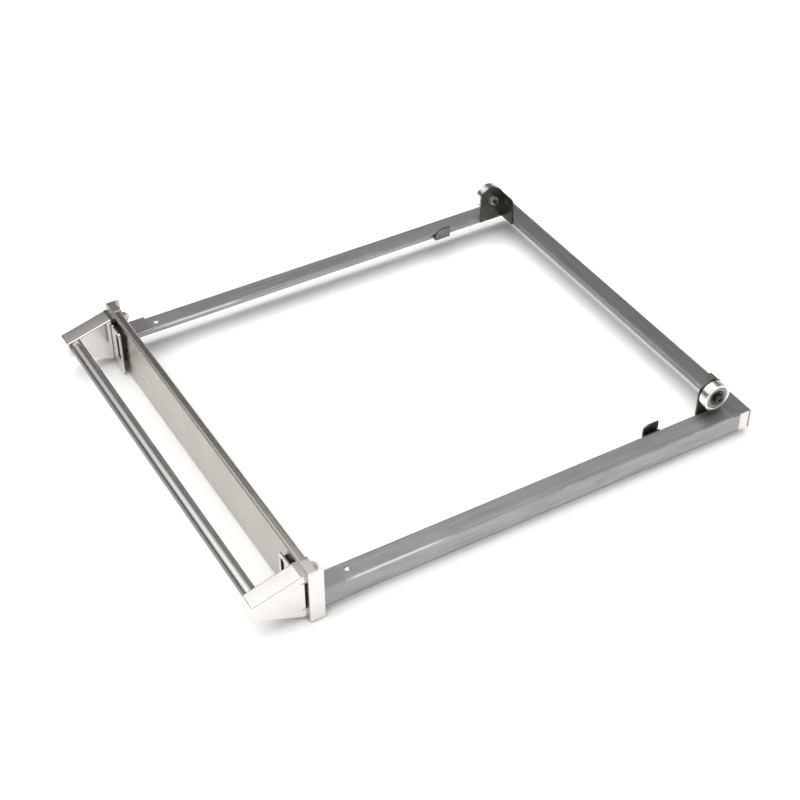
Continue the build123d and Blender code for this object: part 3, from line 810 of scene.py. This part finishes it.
class DRAWER_OT_rollers(bpy.types.Operator):
    """Turns the ball-bearing rollers and finishes their axles"""

    bl_idname = "drawer.rollers"
    bl_label = "Rollers"

    def execute(self, context):
        c = colours()
        bright = turned_ring("roller_ground_steel", c.roller)
        shield = turned_ring("roller_pressed_shield", tone(c.roller, 0.38), 0.30)
        race = turned_ring("roller_inner_ring", tone(c.hub, 1.3), 0.32)
        hub = zinc("axle_dark_plate", c.hub, 0.34)
        nut = zinc("axle_nut_zinc", c.hardware, 0.26)
        ball = zinc("ball_polished_steel", (0.8, 0.8, 0.8), 0.08)
        cage = zinc("cage_pressed_steel", (0.5, 0.45, 0.36), 0.34)
        reach = (RIM[1].z - RIM[0].z) / 2 / MM
        width = (RIM[1].x - RIM[0].x) / MM
        groove = [(GROOVE * math.sin(math.radians(a)),
                   BALL_CIRCLE + GROOVE * math.cos(math.radians(a)))
                  for a in (44, 30, 15, 0, -15, -30, -44)]
        half = width / 2
        rim = [(-half + 0.6, reach), (half - 0.6, reach), (half - 0.15, reach - 0.45),
               (half, reach - 0.9), (half, 14.6), (half - 0.15, 14.3), (half - 0.4, 13.9),
               (half - 1.2, 13.9), (half - 1.2, 13.3), *groove, (-half + 1.2, 13.3),
               (-half + 1.2, 13.9), (-half + 0.4, 13.9), (-half + 0.15, 14.3), (-half, 14.6),
               (-half, reach - 0.9), (-half + 0.15, reach - 0.45)]
        plates = ((half - 1.2, half - 0.4, 1), (-half + 0.4, -half + 1.2, -1))
        for name, side in SIDES:
            centre = Vector((side * AXLE.x, AXLE.y, AXLE.z))
            bm = turn_about_x(rim, centre, 96)
            finish_mesh(bm, "roller_tyre_" + name, bright, "roller_" + name,
                        ["roller_rim_" + name], 25.0)
            bm = bmesh.new()
            for low, high, out in plates:
                face, back = (high, low) if out > 0 else (low, high)
                step = 0.35 * out
                section = [(back, 9.8), (back, 13.85), (face - step, 13.85),
                           (face - step, 13.2), (face, 12.9), (face, 11.0),
                           (face - step, 10.7), (face - step, 9.8)]
                join(bm, turn_about_x(section, centre, 96))
            finish_mesh(bm, "roller_seal_" + name, shield, "roller_" + name,
                        ["roller_shields_" + name], 25.0)
            paint("roller_inner_race_" + name, race)
            paint("roller_bolt_" + name, hub)
            paint("roller_spacer_" + name, nut)
            paint("roller_balls_" + name, ball)
            paint("roller_cage_" + name, cage)
        paint("roller_nuts", nut)
        return {"FINISHED"}


class DRAWER_OT_welds(bpy.types.Operator):
    """Lays the weld beads where the rails meet the crossbar and the brackets their tabs"""

    bl_idname = "drawer.welds"
    bl_label = "Weld beads"

    def execute(self, context):
        r = sizes().weld / MM
        metal = weld_metal("weld_metal", (0.20, 0.20, 0.20))
        for name, side in SIDES:
            bm = bead((at(253.3, 612.0, 35.5), at(233.0, 612.0, 35.5)), r * 0.7)
            join(bm, bead((at(232.9, 55.2, 8), at(232.9, 55.2, 60)), r * 0.8))
            flip(bm, side)
            finish_mesh(bm, "weld_beads_" + name, metal, "frame", ())
        return {"FINISHED"}


class DRAWER_OT_stage(bpy.types.Operator):
    """Sets the pale floor, the soft studio lights and the camera"""

    bl_idname = "drawer.stage"
    bl_label = "Stage"

    def execute(self, context):
        scene = context.scene
        bm = bmesh.new()
        bmesh.ops.create_grid(bm, x_segments=4, y_segments=4, size=14.0)
        mesh = bpy.data.meshes.new("floor")
        bm.to_mesh(mesh)
        bm.free()
        floor = bpy.data.objects.new("floor", mesh)
        scene.collection.objects.link(floor)
        f = Finish("floor_paper")
        grain = f.noise((9.0, 9.0, 9.0), 2.0, 0.5)
        shade = f.blend(grain, tone(colours().floor, 0.99), tuple(colours().floor))
        mesh.materials.append(f.feed(Base_Color=shade, Roughness=0.9,
                                     Specular_IOR_Level=0.1))

        sky = Finish("studio", "worlds", "Background")
        ray = sky.node("ShaderNodeTexCoord", out="Generated")
        height = sky.node("ShaderNodeVectorMath", {"operation": "DOT_PRODUCT"},
                          {0: ray, 1: SKY_LEAN}, out="Value")
        stops = [(place, (level, level, level * 0.995)) for place, level in SKY_LEVELS]
        light = sky.node("ShaderNodeValToRGB", {"stops": stops}, {0: height})
        scene.world = sky.feed(Color=light, Strength=2.1)

        def lamp(name, where, aim, size, power):
            data = bpy.data.lights.new(name, "AREA")
            data.shape = "SQUARE"
            data.size = size
            data.energy = power
            made = bpy.data.objects.new(name, data)
            scene.collection.objects.link(made)
            made.location = where
            made.rotation_euler = (Vector(aim) - Vector(where)).to_track_quat(
                "-Z", "Y").to_euler()
            return made

        lamp("key_softbox", (-1.1, 1.0, 3.2), (0.0, 0.0, 0.0), 1.6, 14.0)
        lamp("edge_light", (1.75, 0.55, 1.3), (0.25, -0.15, 0.03), 0.5, 5.0)
        fill = lamp("floor_fill", (0.5, -0.5, 3.0), (0.0, 0.0, 0.0), 6.0, 68.0)
        fill.visible_glossy = False

        data = bpy.data.cameras.new("camera")
        data.lens = 74.3
        data.sensor_width = 36.0
        camera = bpy.data.objects.new("camera", data)
        scene.collection.objects.link(camera)
        camera.location = (1.288, -0.7535, 1.268)
        camera.rotation_euler = (math.radians(49.64), 0.0, math.radians(59.62))
        scene.camera = camera
        scene.view_settings.view_transform = "Standard"
        return {"FINISHED"}


class DRAWER_PT_sidebar(bpy.types.Panel):
    """Lists the sizes, the colours and the pieces"""

    bl_idname = "DRAWER_PT_sidebar"
    bl_label = "Drawer Frame"
    bl_space_type = "VIEW_3D"
    bl_region_type = "UI"
    bl_category = "Drawer Frame"

    def draw(self, context):
        for group in (context.scene.drawer_sizes, context.scene.drawer_colours):
            box = self.layout.box()
            for key in group.__annotations__:
                box.prop(group, key)
        for operator in OPERATORS:
            self.layout.operator(operator.bl_idname)


OPERATORS = (DRAWER_OT_rails, DRAWER_OT_crossbar, DRAWER_OT_panel, DRAWER_OT_brackets,
             DRAWER_OT_handle, DRAWER_OT_clips, DRAWER_OT_corners, DRAWER_OT_rollers,
             DRAWER_OT_welds, DRAWER_OT_stage)
CLASSES = (DrawerSizes, DrawerColours, *OPERATORS, DRAWER_PT_sidebar)


def register():
    for cls in CLASSES:
        bpy.utils.register_class(cls)
    bpy.types.Scene.drawer_sizes = bpy.props.PointerProperty(type=DrawerSizes)
    bpy.types.Scene.drawer_colours = bpy.props.PointerProperty(type=DrawerColours)


def unregister():
    del bpy.types.Scene.drawer_colours
    del bpy.types.Scene.drawer_sizes
    for cls in reversed(CLASSES):
        bpy.utils.unregister_class(cls)


def main():
    register()
    bpy.ops.drawer.rails()
    bpy.ops.drawer.crossbar()
    bpy.ops.drawer.panel()
    bpy.ops.drawer.brackets()
    bpy.ops.drawer.handle()
    bpy.ops.drawer.clips()
    bpy.ops.drawer.corners()
    bpy.ops.drawer.rollers()
    bpy.ops.drawer.welds()
    bpy.ops.drawer.stage()


if __name__ == "__main__":
    main()
